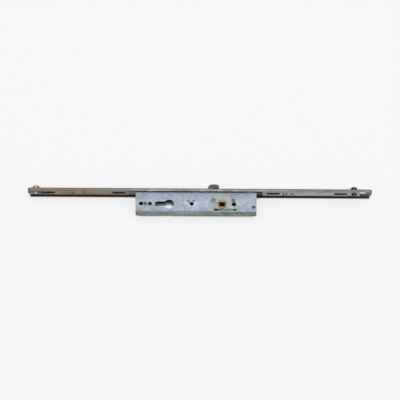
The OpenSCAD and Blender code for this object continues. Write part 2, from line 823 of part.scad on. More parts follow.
// Bevelled bolt with a rounded lower corner, a sloped upper one and a pocket on the cover's side
module latch_bolt() {
    lip_y = plate_back_y - slide_gap;
    nose_land = 3;
    pocket_w = 10;
    pocket_len = 4;
    pocket_ahead = 0.6;
    pocket_deep = 1.5;
    color(dark_steel) difference() {
        union() {
            intersection() {
                translate([0, 0, mid_z0]) linear_extrude(latch_z1 - mid_z0) {
                    polygon([[latch_x0 + latch_corner_r, latch_rear_y], [latch_x1, latch_rear_y],
                             [latch_x1, latch_tip_y - latch_slope_h], [latch_x1 - latch_slope_w, latch_tip_y],
                             [latch_x0 + latch_corner_r, latch_tip_y]]);
                    translate([latch_x0, latch_rear_y])
                        square([latch_w, latch_tip_y - latch_rear_y - latch_corner_r]);
                    translate([latch_x0 + latch_corner_r, latch_tip_y - latch_corner_r])
                        circle(r = latch_corner_r);
                }
                // Side view of the bolt, bevelled towards the tray's side
                along_x(latch_x0 - cut, latch_x1 + cut)
                    polygon([[latch_rear_y, mid_z0], [latch_tip_y - latch_bevel, mid_z0],
                             [latch_tip_y, latch_z1 - nose_land], [latch_tip_y, latch_z1],
                             [latch_rear_y, latch_z1]]);
            }
            block([latch_x0 - latch_lip, latch_rear_y, mid_z0], [latch_x1 + latch_lip, lip_y, latch_z1]);
        }
        block([latch_x1 - pocket_w, front_y + pocket_ahead, latch_z1 - pocket_deep],
              [latch_x1 + cut, front_y + pocket_ahead + pocket_len, latch_z1 + cut]);
        y_rod(-rod_below, rod_z, rod_d, latch_rear_y - cut, latch_rear_y + rod_seat);
    }
}

// Rod riveted into the latch bolt, with the pin that the latch lever pulls
module latch_rod() {
    color(steel) {
        y_rod(-rod_below, rod_z, rod_d, rod_pin_y - rod_tail, latch_rear_y + rod_seat);
        z_rod([-rod_below, rod_pin_y], rod_pin_d, rod_z, top_z - layer_gap);
    }
}

// Bracket that guides the rod, with a foot riveted to the tray and one to the cover
module latch_guide() {
    x0 = -rod_below - guide_half_w;
    x1 = -rod_below + guide_half_w;
    color(steel) difference() {
        union() {
            block([x0, guide_y, floor_z], [x1, guide_y + guide_t, roof_z]);
            block([x0, guide_y, floor_z], [x1, guide_y + guide_foot, floor_z + guide_t]);
            block([x0, guide_y, roof_z - guide_t], [x1, guide_y + guide_foot, roof_z]);
        }
        y_rod(-rod_below, rod_z, rod_d + 2 * run_gap, guide_y - cut, guide_y + guide_t + cut);
        z_rod([guide_rivet_x, guide_rivet_y], guide_rivet_d, floor_z - cut, roof_z + cut);
    }
}

module guide_rivets() {
    color(steel) for (side = [0, 1]) mirror([0, 0, side]) {
        z_rod([guide_rivet_x, guide_rivet_y], guide_rivet_d, roof_z - guide_t, case_z);
        rivet_head([guide_rivet_x, guide_rivet_y], post_head_d);
    }
}

// Flat lever that draws the latch rod back
module latch_lever() {
    reach = norm([lever_len, latch_throw / 2]);
    slot_half_w = rod_pin_d / 2 + slide_gap;
    half_w = 1.6;
    eye_wall = 1.3;
    color(steel) translate([lever_pivot[0], lever_pivot[1], lever_z0]) rotate(lever_rest)
        linear_extrude(top_z - lever_z0 - run_gap) difference() {
            union() {
                circle(d = lever_boss_d);
                translate([0, -half_w]) square([reach + lever_tip - half_w, 2 * half_w]);
                translate([reach + lever_tip - half_w, 0]) circle(r = half_w);
                translate([reach, 0]) circle(r = slot_half_w + eye_wall);
            }
            circle(d = lever_post_d + 2 * run_gap);
            translate([lever_len, -slot_half_w]) square([reach - lever_len, 2 * slot_half_w]);
            for (x = [lever_len, reach]) translate([x, 0]) circle(r = slot_half_w);
        }
}

module lever_post() {
    color(dark_steel) {
        z_rod(lever_pivot, lever_post_d, floor_z, top_z);
        z_rod(lever_pivot, lever_boss_d, floor_z, lever_z0 - layer_gap);
    }
}

// Springs

// Points along a coil about Z, from height 0 to length, with straight ends on the axis where lead is over 0
function coil_point(i, steps, turns, r, z0, z1, lead) =
    let (u = i / steps, a = 360 * turns * u, grow = lead > 0 ? min(1, u * turns * 2, (1 - u) * turns * 2) : 1)
    [r * grow * cos(a), r * grow * sin(a), z0 + (z1 - z0) * u];

function coil_path(turns, r, length, lead, wire_r) =
    let (steps = round(8 * turns), z0 = lead > 0 ? lead : wire_r)
    concat(
        lead > 0 ? [[0, 0, 0]] : [],
        [for (i = [0 : steps]) coil_point(i, steps, turns, r, z0, length - z0, lead)],
        lead > 0 ? [[0, 0, length]] : []
    );

function unit(v) = v / norm(v);

// Ring of six points round the wire at point i of a path
function wire_ring(path, i, wire_r) =
    let (
        last = len(path) - 1,
        along = unit(path[min(i + 1, last)] - path[max(i - 1, 0)]),
        side = unit(cross(along, [0.31, 0.17, 1])),
        other = cross(along, side)
    )
    [for (k = [0 : 5]) path[i] + wire_r * (cos(60 * k) * side + sin(60 * k) * other)];

module wire_tube(path, wire_r) {
    count = len(path);
    points = [for (i = [0 : count - 1]) each wire_ring(path, i, wire_r)];
    sides = [
        for (i = [0 : count - 2])
            for (k = [0 : 5])
                let (a = 6 * i + k, b = 6 * i + (k + 1) % 6)
                each [[a, b, a + 6], [b, b + 6, a + 6]]
    ];
    first = [for (k = [1 : 4]) [0, k + 1, k]];
    end = 6 * (count - 1);
    last = [for (k = [1 : 4]) [end, end + k, end + k + 1]];
    polyhedron(points, concat(sides, first, last));
}

// Least gap of a coil to itself, between points at least three quarters of a turn apart
function self_gap(path, wire_r) =
    min([for (i = [0 : len(path) - 1]) for (j = [i + 6 : 1 : len(path) - 1]) norm(path[i] - path[j])])
    - 2 * wire_r;

latch_coil = coil_path(latch_spring_turns, rod_d / 2 + 2 * slide_gap + latch_wire_d / 2,
    latch_rear_y - guide_y - guide_t, 0, latch_wire_d / 2);
return_coil = coil_path(return_spring_turns, (return_spring_d - return_wire_d) / 2,
    anchor_x - return_end_x, 2, return_wire_d / 2);
echo(latch_spring_gap = self_gap(latch_coil, latch_wire_d / 2));
echo(return_spring_gap = self_gap(return_coil, return_wire_d / 2));

module latch_spring() {
    color(steel) along_y([-rod_below, guide_y + guide_t, rod_z]) wire_tube(latch_coil, latch_wire_d / 2);
}

module return_spring() {
    color(steel) translate([return_end_x, return_axis_y, return_axis_z]) rotate([0, 90, 0])
        wire_tube(return_coil, return_wire_d / 2);
}

// Return slide

// Bar under the cover that the follower's rear arm pushes, with the rib that shows in the cover's slot
module return_slide() {
    half_notch = return_nose_d / 2 + nose_gap;
    rib_w = cover_slot_w - 2 * slide_gap;
    color([0.42, 0.43, 0.44]) difference() {
        union() {
            block([return_x0, rear_inner_y + slide_gap, return_z0], [return_end_x, return_front_y, top_z]);
            block([return_x0, -cover_slot_back - rib_w / 2, return_web_z],
                  [return_end_x - return_rib_short, -cover_slot_back + rib_w / 2, case_z - slide_gap]);
            block([return_x0 - return_tongue, -cover_slot_back - rib_w / 2, top_z + tongue_lift],
                  [return_x0 + cut, -cover_slot_back + rib_w / 2, case_z - slide_gap]);
        }
        block([return_notch_x - half_notch, rear_inner_y, return_z0 - cut],
              [return_notch_x + half_notch, return_front_y + cut, return_web_z]);
    }
}

// White plug pressed into the lower end of the cover's slot, which ends the rib's travel
module slot_plug() {
    r = cover_slot_w / 2;
    x0 = -cover_slot_below + r;
    color("white") {
        z_rod([x0, -cover_slot_back], cover_slot_w, roof_z, case_z);
        block([x0, -cover_slot_back - r, roof_z],
              [return_x0 - return_tongue - return_travel - nose_gap, -cover_slot_back + r, case_z]);
    }
}

// Deadlock

// Slide that the cylinder's cam lifts into the drive slide's notches
module deadlock_slide() {
    half_w = deadlock_half_w;
    y0 = 0.5;
    y1 = 12.2;
    nose = cylinder_to_tooth - half_w - cam_reach;
    slot_half_w = stud_d / 2 + slide_gap;
    color(dark_steel) translate([0, 0, low_z0]) linear_extrude(low_t) difference() {
        union() {
            translate([-tooth_below - half_w, y0]) square([2 * half_w, y1 - y0]);
            translate([-tooth_below - tooth_w / 2, y1 - cut]) square([tooth_w, tooth_tip_y - y1 + cut]);
            polygon([[-tooth_below - half_w + cut, y0 + 8], [-tooth_below - half_w - nose, y0 + 4.5],
                     [-tooth_below - half_w - nose, y0 + 2.5], [-tooth_below - half_w + cut, y0 + 1]]);
        }
        for (x = studs_x) {
            translate([x - slot_half_w, stud_y - deadlock_travel])
                square([2 * slot_half_w, deadlock_travel]);
            for (y = [stud_y - deadlock_travel, stud_y]) translate([x, y]) circle(r = slot_half_w);
        }
    }
}

module deadlock_studs() {
    head_h = 1;
    head_d = stud_d + 2.4;
    color(steel) for (x = studs_x) {
        z_rod([x, stud_y], stud_d, floor_z, low_z1 + slide_gap);
        z_rod([x, stud_y], head_d, low_z1 + slide_gap, low_z1 + slide_gap + head_h);
    }
}

faceplate();
case_tray();
case_cover();
rear_wall();
case_posts();
screw_sleeves();
cover_bush();
tray_bush();
follower();
drive_slide();
lower_link();
lower_rail();
upper_link();
upper_rail();
rail_rivets();
lower_cam_pin();
upper_cam_pin();
cam_washers();
lower_roller();
upper_roller();
latch_bolt();
latch_rod();
latch_guide();
guide_rivets();
latch_spring();
latch_lever();
lever_post();
return_slide();
slot_plug();
return_spring();
deadlock_slide();
deadlock_studs();
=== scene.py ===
# Multipoint door lock, lying on its side on a white bench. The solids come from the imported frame; each
# section below gives one piece, or a group of like pieces, its finish in the order they are assembled.

import json
import math

import bpy
from mathutils import Matrix, Vector


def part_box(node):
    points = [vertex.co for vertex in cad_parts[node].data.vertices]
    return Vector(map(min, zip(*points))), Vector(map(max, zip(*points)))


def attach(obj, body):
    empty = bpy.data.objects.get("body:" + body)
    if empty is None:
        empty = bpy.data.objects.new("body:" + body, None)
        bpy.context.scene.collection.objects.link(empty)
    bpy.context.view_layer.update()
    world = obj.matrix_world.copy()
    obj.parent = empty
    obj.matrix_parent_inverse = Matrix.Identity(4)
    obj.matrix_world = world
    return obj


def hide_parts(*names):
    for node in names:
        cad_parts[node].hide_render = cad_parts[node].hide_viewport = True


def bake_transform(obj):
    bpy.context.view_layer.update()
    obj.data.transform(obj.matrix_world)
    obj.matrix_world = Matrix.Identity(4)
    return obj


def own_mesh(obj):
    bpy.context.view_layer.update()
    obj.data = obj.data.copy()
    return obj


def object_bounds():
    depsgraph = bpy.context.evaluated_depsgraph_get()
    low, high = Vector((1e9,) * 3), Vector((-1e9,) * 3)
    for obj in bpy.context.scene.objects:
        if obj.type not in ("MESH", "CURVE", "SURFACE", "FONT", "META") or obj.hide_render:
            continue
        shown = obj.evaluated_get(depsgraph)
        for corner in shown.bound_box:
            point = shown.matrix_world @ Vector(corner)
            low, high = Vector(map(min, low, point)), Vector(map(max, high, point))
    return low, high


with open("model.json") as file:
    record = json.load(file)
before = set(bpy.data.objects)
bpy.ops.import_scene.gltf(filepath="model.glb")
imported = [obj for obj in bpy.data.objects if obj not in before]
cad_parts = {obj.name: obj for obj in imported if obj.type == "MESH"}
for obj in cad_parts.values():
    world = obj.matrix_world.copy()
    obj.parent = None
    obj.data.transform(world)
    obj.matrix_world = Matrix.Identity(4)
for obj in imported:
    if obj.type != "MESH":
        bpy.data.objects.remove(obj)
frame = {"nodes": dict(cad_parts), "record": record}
cad_low, cad_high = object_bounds()

# Faceplate
# A long channel rolled from galvanised steel strip, with slots for the cams and holes for its screws.
# The case's tenons are riveted in its web. Its lower end has a brown film of oil and dust.


def tint(red, green, blue):
    """A colour as it looks on screen, 0 to 255, in the linear form that shaders take."""
    shares = [value / 255 for value in (red, green, blue)]
    return tuple(s / 12.92 if s <= 0.04045 else ((s + 0.055) / 1.055) ** 2.4 for s in shares) + (1.0,)


def place(tree, kind, settings, feeds):
    """Adds a shader node and feeds its inputs with sockets or plain values."""
    made = tree.nodes.new("ShaderNode" + kind)
    for name, value in settings.items():
        setattr(made, name, value)
    for name, value in feeds.items():
        if isinstance(value, bpy.types.NodeSocket):
            tree.links.new(value, made.inputs[name])
        else:
            made.inputs[name].default_value = value
    return made


def mixed(tree, share, first, second):
    """Colour that goes from first to second as share goes from 0 to 1."""
    return place(tree, "Mix", {"data_type": "RGBA"}, {0: share, 6: first, 7: second}).outputs[2]


def spread(tree, value, low, high, start=0.0, end=1.0):
    """Value stretched so that low becomes start and high becomes end, and held there."""
    feeds = {"Value": value, "From Min": low, "From Max": high, "To Min": start, "To Max": end}
    return place(tree, "MapRange", {}, feeds).outputs[0]


def worked(tree, way, first, second):
    """Two values added, multiplied or otherwise worked into one."""
    return place(tree, "Math", {"operation": way}, {0: first, 1: second}).outputs[0]


def spot(tree):
    """The three Object coordinates, apart."""
    here = place(tree, "TexCoord", {}, {}).outputs["Object"]
    return place(tree, "SeparateXYZ", {}, {"Vector": here}).outputs


def stretched(tree, scale, turn=0.0):
    """Object coordinates, turned about Z and stretched by scale along each axis."""
    here = place(tree, "TexCoord", {}, {}).outputs["Object"]
    return place(tree, "Mapping", {}, {"Vector": here, "Rotation": (0, 0, turn), "Scale": scale}).outputs[0]


def noise(tree, place_at, scale, detail, distortion=0.0):
    """Soft noise from 0 to 1 with scale cells to the metre, before its coordinates are stretched."""
    feeds = {"Vector": place_at, "Scale": scale, "Detail": detail, "Distortion": distortion}
    return place(tree, "TexNoise", {}, feeds).outputs["Fac"]


def effect(name, inputs, outputs):
    """Empty node group with value inputs and the named outputs; returns the tree and its two end nodes."""
    tree = bpy.data.node_groups.new(name, "ShaderNodeTree")
    for label, value in inputs.items():
        tree.interface.new_socket(label, in_out="INPUT", socket_type="NodeSocketFloat").default_value = value
    for label, kind in outputs.items():
        tree.interface.new_socket(label, in_out="OUTPUT", socket_type="NodeSocket" + kind)
    return tree, tree.nodes.new("NodeGroupInput").outputs, tree.nodes.new("NodeGroupOutput").inputs


# Cloudy film of oil, dust and dull zinc, in patches of about Size metres, with small specks in it
cloudy_film, given, made = effect("cloudy_film", {"Size": 0.02}, {"Cloud": "Float", "Speck": "Float"})
per_metre = worked(cloudy_film, "DIVIDE", 1.0, given["Size"])
plain = stretched(cloudy_film, (1, 1, 1))
clouds = noise(cloudy_film, plain, per_metre, 5, 0.8)
cloudy_film.links.new(spread(cloudy_film, clouds, 0.32, 0.68), made["Cloud"])
specks = noise(cloudy_film, plain, worked(cloudy_film, "MULTIPLY", per_metre, 7.0), 3)
cloudy_film.links.new(spread(cloudy_film, specks, 0.60, 0.72), made["Speck"])

# Fine lines left along X by rolling and drawing, Pitch metres apart, and longer scuffs among them
drawn_lines, given, made = effect("drawn_lines", {"Pitch": 0.0006}, {"Line": "Float", "Scuff": "Float"})
per_metre = worked(drawn_lines, "DIVIDE", 1.0, given["Pitch"])
lines = noise(drawn_lines, stretched(drawn_lines, (0.02, 1, 1)), per_metre, 3)
drawn_lines.links.new(spread(drawn_lines, lines, 0.3, 0.7), made["Line"])
scuffs_per_metre = worked(drawn_lines, "MULTIPLY", per_metre, 0.3)
scuffs = noise(drawn_lines, stretched(drawn_lines, (0.05, 1, 1)), scuffs_per_metre, 4)
drawn_lines.links.new(spread(drawn_lines, scuffs, 0.58, 0.75), made["Scuff"])

# Edges rubbed bright over Round metres, dirt and painted shade in corners within Reach metres, the softened
# normal
worn_edges, given, made = effect(
    "worn_edges", {"Round": 0.0004, "Reach": 0.004}, {"Edge": "Float", "DirtAndShade": "Float", "Normal": "Vector"})
eased = place(worn_edges, "Bevel", {"samples": 4}, {"Radius": given["Round"]}).outputs[0]
facing = place(worn_edges, "NewGeometry", {}, {}).outputs["Normal"]
agree = place(worn_edges, "VectorMath", {"operation": "DOT_PRODUCT"}, {0: eased, 1: facing}).outputs["Value"]
worn_edges.links.new(spread(worn_edges, agree, 0.98, 0.80), made["Edge"])
open_to = place(worn_edges, "AmbientOcclusion", {"samples": 8}, {"Distance": given["Reach"]}).outputs["AO"]
worn_edges.links.new(spread(worn_edges, open_to, 0.75, 0.25), made["DirtAndShade"])
worn_edges.links.new(eased, made["Normal"])


class Metal:
    """Worn metal whose colour can be laid over, coat by coat, before it is put on its pieces."""

    def __init__(self, name, dark, main, pale, film=0.02, pitch=0.0006, metallic=0.4, rough=(0.38, 0.55)):
        self.material = bpy.data.materials.new(name)
        self.material.use_nodes = True
        self.tree = self.material.node_tree
        self.shader = self.tree.nodes["Principled BSDF"]
        self.metallic, self.dull = metallic, None
        self.film = place(self.tree, "Group", {"node_tree": cloudy_film}, {"Size": film}).outputs
        self.lines = place(self.tree, "Group", {"node_tree": drawn_lines}, {"Pitch": pitch}).outputs
        self.wear = place(self.tree, "Group", {"node_tree": worn_edges}, {}).outputs
        self.spot = spot(self.tree)
        self.dark, self.pale = dark, pale
        self.colour = mixed(self.tree, self.film["Cloud"], dark, main)
        self.coat(self.ramp(self.lines["Line"], 0.3, 1), pale, 0.4)
        self.coat(self.lines["Scuff"], dark, 0.35)
        self.rough = self.ramp(self.film["Cloud"], 0, 1, rough[1], rough[0])
        raised = place(self.tree, "Bump", {}, {
            "Strength": 0.25, "Distance": 0.0001,
            "Height": self.lines["Line"], "Normal": self.wear["Normal"]})
        self.tree.links.new(raised.outputs[0], self.shader.inputs["Normal"])

    def ramp(self, value, low, high, start=0.0, end=1.0):
        """Value stretched so that low becomes start and high becomes end, and held there."""
        return spread(self.tree, value, low, high, start, end)

    def marks(self, scale, cells, detail, distortion, turn=0.0):
        """Noise of so many cells to the metre, turned about Z and stretched by scale along each axis."""
        return noise(self.tree, stretched(self.tree, scale, turn), cells, detail, distortion)

    def both(self, first, second):
        """Mask where both masks are."""
        return worked(self.tree, "MULTIPLY", first, second)

    def either(self, first, second):
        """Mask where either mask is, or the larger of two distances."""
        return worked(self.tree, "MAXIMUM", first, second)

    def off(self, value, middle=0.0):
        """How far a value lies from middle, to either side."""
        return worked(self.tree, "ABSOLUTE", worked(self.tree, "SUBTRACT", value, middle), 0.0)

    def away(self, x, y):
        """Distance from a line along Z through x, y, in metres."""
        across = worked(self.tree, "SUBTRACT", self.spot["X"], x)
        up = worked(self.tree, "SUBTRACT", self.spot["Y"], y)
        squares = worked(self.tree, "ADD", self.both(across, across), self.both(up, up))
        return worked(self.tree, "SQRT", squares, 0.0)

    def along(self, axis, start, end):
        """Mask that goes from 0 at start to 1 at end along an axis, both in metres, with a cloudy edge."""
        shift = self.ramp(self.film["Cloud"], 0, 1, -0.2, 0.2)
        return self.ramp(worked(self.tree, "ADD", self.ramp(self.spot[axis], start, end), shift), 0, 1)

    def band(self, axis, start, end, fade):
        """Mask that is 0 outside start and end along an axis, and 1 from fade inside them, in metres."""
        here = self.spot[axis]
        return self.both(self.ramp(here, start, start + fade), self.ramp(here, end, end - fade))

    def walls(self, low, high, edge):
        """Mask of the slot and hole walls of a flat strip between the corners, clear of its edges along Z."""
        skin, fade, edge_fade = 0.00005, 0.00015, 0.0002
        cut = self.band("Y", low.y + skin, high.y - skin, fade)
        inner = self.ramp(self.off(self.spot["Z"]), high.z - edge, high.z - edge - edge_fade)
        return self.both(cut, inner)

    def coat(self, mask, colour, share=1.0, dull=False):
        """Lays a colour over what is there, where mask is 1, at the given share; a dull coat has no shine."""
        strength = mask if share == 1.0 else worked(self.tree, "MULTIPLY", mask, share)
        self.colour = mixed(self.tree, strength, self.colour, colour)
        if dull:
            self.dull = strength if self.dull is None else self.either(self.dull, strength)

    def dress(self, *names, specks=0.3, edges=0.4, dirt_and_shade=0.6):
        """Finishes the colour with specks, rubbed edges, and dirt and painted shade in corners, and puts it
        on the named nodes.
        """
        self.coat(self.film["Speck"], self.dark, specks)
        self.coat(self.wear["Edge"], self.pale, edges)
        # Dirt and painted shade in corners, from ambient occlusion
        self.coat(self.wear["DirtAndShade"], tint(34, 31, 28), dirt_and_shade)
        self.tree.links.new(self.colour, self.shader.inputs["Base Color"])
        if self.dull is None:
            self.shader.inputs["Metallic"].default_value = self.metallic
        else:
            self.rough = self.either(self.rough, self.dull)
            self.tree.links.new(self.ramp(self.dull, 0, 1, self.metallic, 0), self.shader.inputs["Metallic"])
            self.shader.inputs["Specular IOR Level"].default_value = 0.1
        self.tree.links.new(self.rough, self.shader.inputs["Roughness"])
        for name in names:
            mesh = frame["nodes"][name].data
            mesh.materials.clear()
            mesh.materials.append(self.material)


plate_low, plate_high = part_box("faceplate")
case_low, case_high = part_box("case_tray")
case_high.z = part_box("case_cover")[1].z
case_low.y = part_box("rear_wall")[0].y
bolt_low, bolt_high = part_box("latch_bolt")
rail_start_x, rail_end_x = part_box("lower_rail")[0].x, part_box("upper_rail")[1].x
bend_r = 0.0022
sheet_t = 0.00175
end_r = 0.012

strip = Metal("galvanised_strip", tint(108, 107, 107), tint(135, 134, 134), tint(158, 158, 158),
              film=0.03, pitch=0.0005)

# Blue zinc in light and dark patches over the case, and darker beside the latch
over_case = strip.both(strip.along("X", case_low.x - 0.006, case_low.x + 0.006),
                       strip.along("X", case_high.x + 0.03, case_high.x))
strip.coat(over_case, tint(139, 146, 150), 0.75)
patches = strip.marks((0.4, 1, 1), 70, 4, 0.6)
strip.coat(strip.both(over_case, strip.ramp(patches, 0.54, 0.66)), tint(196, 200, 205), 0.55)
strip.coat(strip.both(over_case, strip.ramp(patches, 0.44, 0.34)), tint(98, 102, 92), 0.5)
beside_latch = strip.both(strip.along("X", bolt_low.x - 0.010, bolt_low.x - 0.002),
                          strip.along("X", bolt_high.x + 0.003, bolt_high.x - 0.005))
strip.coat(beside_latch, tint(112, 119, 122), 0.65)

# Stains all along, the brown film towards the lower end and a brighter stretch above the case
stains = strip.marks((0.3, 1, 1), 130, 4, 0.6, turn=0.02)
strip.coat(strip.ramp(stains, 0.57, 0.70), tint(98, 94, 87), 0.35)
strip.coat(strip.along("X", case_low.x - 0.02, case_low.x - 0.09), tint(122, 108, 96), 0.85)
past_case = strip.both(strip.along("X", case_high.x, case_high.x + 0.015),
                       strip.along("X", case_high.x + 0.11, case_high.x + 0.06))
strip.coat(past_case, tint(164, 163, 162), 0.25)

# Painted shade on the bends between the web and its legs, which turn away from the light
from_middle = strip.off(strip.spot["Z"])
shaded_bends = strip.both(strip.along("Y", plate_high.y - 1.7 * bend_r, plate_high.y - 0.9 * bend_r),
                   strip.ramp(from_middle, plate_high.z - 1.2 * bend_r, plate_high.z - 0.8 * bend_r))
strip.coat(shaded_bends, tint(88, 88, 82), 0.6)

# Black grease and painted shade inside, behind the rails, on the lower leg and on the walls of the web's
# slots and holes
inside = strip.both(
    strip.ramp(from_middle, plate_high.z - 0.8 * sheet_t, plate_high.z - 0.95 * sheet_t),
    strip.ramp(strip.spot["Y"], plate_high.y - 0.8 * sheet_t, plate_high.y - 0.95 * sheet_t))
behind_rails = strip.band("X", rail_start_x - 0.003, rail_end_x + 0.003, 0.005)
strip.coat(strip.both(inside, behind_rails), tint(44, 38, 32), 0.85, dull=True)
lower_leg = strip.both(
    strip.band("Z", plate_low.z, plate_low.z + sheet_t + 0.0002, 0.0001),
    strip.ramp(strip.spot["Y"], plate_high.y - bend_r, plate_high.y - bend_r - 0.0001))
# Painted shade on the lower leg, which lies under the upper leg
strip.coat(lower_leg, tint(40, 35, 30), 0.85, dull=True)
web_walls = strip.walls(Vector((0, plate_high.y - sheet_t, 0)), plate_high, 2 * bend_r)
between_ends = strip.band("X", plate_low.x + end_r, plate_high.x - end_r, 0.001)
strip.coat(strip.both(web_walls, between_ends), tint(40, 34, 28), 0.85, dull=True)
strip.dress("faceplate")

# Case tray
# The floor of the case, with both ends bent up, blanked from zinc plated steel with holes to match the
# cover. Its inner face is painted pale, as light let in by the cylinder's cut-out, and beyond a ring round
# the cut-out it is black with grease from the moving pieces and the painted shadow of the cover.

tray_low, tray_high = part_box("case_tray")
mount_at = {mount["name"]: mount["pos_m"] for mount in frame["record"]["mounts"]}
wall = 0.0015
round_x = mount_at["profile_cylinder"][0]
round_r, narrow_r = 0.0085, 0.005
cut_out_x, cut_out_reach = round_x - 0.0065, 0.022

tray = Metal("tray_zinc", tint(122, 134, 150), tint(148, 161, 181), tint(176, 187, 203),
             film=0.018, pitch=0.0009)
between_ends = tray.both(tray.along("X", tray_low.x + wall / 2, tray_low.x + wall),
                         tray.along("X", tray_high.x - wall / 2, tray_high.x - wall))
inner = tray.both(tray.ramp(tray.spot["Z"], tray_low.z + wall / 2, tray_low.z + wall), between_ends)
# Painted light: the inner face is paler, as lit through the cut-out
tray.coat(inner, tint(206, 214, 236), 0.8)
past_round = tray.ramp(tray.away(round_x, 0.0), round_r + 0.001, round_r + 0.0048)
past_narrow = tray.ramp(tray.spot["Y"], narrow_r + 0.001, narrow_r + 0.005)
past_end = tray.ramp(tray.away(cut_out_x, 0.0), cut_out_reach - 0.002, cut_out_reach)
# Grease and the cover's painted shadow, beyond a ring round the cut-out
grease_and_cover_shadow = tray.both(inner, tray.either(past_end, tray.both(past_round, past_narrow)))
tray.coat(grease_and_cover_shadow, tint(14, 14, 15), 0.98, dull=True)
tray.dress("case_tray")

# Posts, sleeves and studs
# Shouldered steel posts, riveted over on the cover and the tray, left bare and gone maroon and grey.
# Sleeves keep the screws of the handle plate from crushing the case; they are painted black without shine, as
# the shade in the holes.

lower_post, upper_post, end_post = (-0.133, 0.001), (0.0198, 0.0083), (0.055, -0.0049)
head_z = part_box("case_posts")[1].z
head_reach, dimple_reach = 0.0036, 0.0014
riveted = Metal("rivet_steel", tint(60, 48, 50), tint(98, 84, 88), tint(140, 130, 129),
                film=0.004, pitch=0.0004)
below_heads = riveted.ramp(riveted.off(riveted.spot["Z"]), head_z - 0.00005, head_z - 0.00015)
riveted.coat(below_heads, tint(66, 50, 48), 0.8)
from_upper = riveted.away(*upper_post)
riveted.coat(riveted.ramp(from_upper, head_reach + 0.0004, head_reach), tint(78, 74, 64), 0.85)
riveted.coat(riveted.ramp(from_upper, dimple_reach, dimple_reach / 2), tint(160, 156, 146), 0.5)
from_end = riveted.away(*end_post)
riveted.coat(riveted.ramp(from_end, head_reach + 0.0004, head_reach), tint(80, 70, 75), 0.5)
riveted.coat(riveted.along("X", end_post[0], end_post[0] + 0.001), tint(78, 48, 57), 0.85)
riveted.dress("case_posts", "deadlock_studs")
# Painted shade: black without shine, on the sleeves and the lever's post
shade_black = Metal("shade_black_steel", tint(10, 11, 11), tint(14, 15, 15), tint(24, 24, 25),
                  film=0.006, metallic=0.0, rough=(0.9, 1.0))
shade_black.shader.inputs["Specular IOR Level"].default_value = 0.0
shade_black.dress("screw_sleeves", "lever_post")

# Bushes
# Turned brass rings pressed into the tray and the cover, tarnished to a dull gold.
# The follower's hub turns in them, and the cover's ring shows round it.

brass = Metal("bush_brass", tint(112, 94, 60), tint(150, 134, 99), tint(186, 172, 143),
              film=0.004, pitch=0.0004, metallic=0.6)
brass.dress("cover_bush", "tray_bush", dirt_and_shade=0.35)

# Follower
# A cast hub with two arms and a finger, turning in the bushes; its bare metal has gone amber brown.
# Its face is painted light above and below the square hole, and the hole's walls are painted dark as shade.

square_r, lit_band_w = 0.0041, 0.0016
cast = Metal("follower_cast", tint(62, 33, 14), tint(104, 61, 26), tint(136, 94, 54),
             film=0.005, pitch=0.0008, rough=(0.45, 0.65))
# Painted light on the face above and below the square hole
cast.coat(cast.along("Y", square_r, square_r + lit_band_w), tint(204, 172, 132), 0.75)
cast.coat(cast.along("Y", -square_r, -square_r - lit_band_w), tint(190, 156, 82), 0.75)
from_square = cast.either(cast.off(cast.spot["X"]), cast.off(cast.spot["Y"]))
cast.coat(cast.ramp(from_square, square_r + 0.0001, square_r + 0.00004), tint(70, 54, 54), 0.92, dull=True)
cast.dress("follower", edges=0.1, dirt_and_shade=0.8)

# Drive slide and deadlock
# Stamped bars of oiled black steel inside the case. The drive slide carries both rails, and the
# deadlock slide, which moves on two studs, blocks it.

oiled = Metal("oiled_steel", tint(50, 48, 46), tint(84, 82, 79), tint(120, 118, 114), film=0.012)
oiled.dress("drive_slide", "deadlock_slide")

# Latch
# A bevelled bolt of sintered steel, olive grey and oily, with a pocket on the cover's side that is painted
# black as shade. The rod riveted into it, its bracket and the lever are bright steel, and zinc plated rivets
# hold the bracket.

# The pocket from the bolt's face, from the faceplate's front and from the bolt's lip
pocket_deep, pocket_end, pocket_reach = 0.0016, 0.0046, 0.0113
sintered = Metal("latch_sintered", tint(62, 61, 56), tint(94, 93, 87), tint(130, 128, 121),
                 film=0.006, pitch=0.0008)
sunk = sintered.both(
    sintered.ramp(sintered.spot["Z"], bolt_high.z - 0.0002, bolt_high.z - 0.0005),
    sintered.ramp(sintered.spot["Z"], bolt_high.z - pocket_deep - 0.0002, bolt_high.z - pocket_deep))
within = sintered.both(
    sintered.ramp(sintered.spot["Y"], plate_high.y + pocket_end + 0.0002, plate_high.y + pocket_end),
    sintered.ramp(sintered.spot["X"], bolt_high.x - pocket_reach - 0.0003, bolt_high.x - pocket_reach))
# Painted shade: the pocket's floor black and dull
sintered.coat(sintered.both(sunk, within), tint(14, 14, 12), 0.95, dull=True)
sintered.dress("latch_bolt")
bright = Metal("bright_steel", tint(120, 124, 126), tint(156, 161, 164), tint(188, 192, 194), film=0.01)
bright.dress("latch_rod", "latch_guide", "latch_lever")
zinc_rivet = Metal("zinc_rivet", tint(88, 94, 88), tint(116, 123, 117), tint(144, 150, 148),
                   film=0.003, pitch=0.0004)
zinc_rivet.dress("guide_rivets")

# Latch spring
# Drawn wire wound round the latch rod, with closed end turns. It sits between bracket and bolt, and is
# pressed together as the bolt goes in.


def coil(middle, axis, length, radius, turns, closed, rise, lead=0.0):
    """Points of a coil along an axis, from middle: at both ends closed turns, which climb by rise each,
    and straight leads on the axis."""
    side = axis.orthogonal()
    other = axis.cross(side)
    steps = 24
    whole = turns + 2 * closed
    open_rise = (length - 2 * lead - 2 * closed * rise) / turns
    points = []
    for step in range(round(steps * whole) + 1):
        done = step / steps
        open_turns = min(max(done - closed, 0), turns)
        closed_turns = min(done, closed) + max(done - closed - turns, 0)
        at = lead + rise * closed_turns + open_rise * open_turns
        inward = min(1, 4 * done, 4 * (whole - done)) if lead else 1
        turn = 2 * math.pi * done
        points.append(middle + axis * at + radius * inward * (side * math.cos(turn) + other * math.sin(turn)))
    return [middle] * bool(lead) + points + [middle + axis * length] * bool(lead)


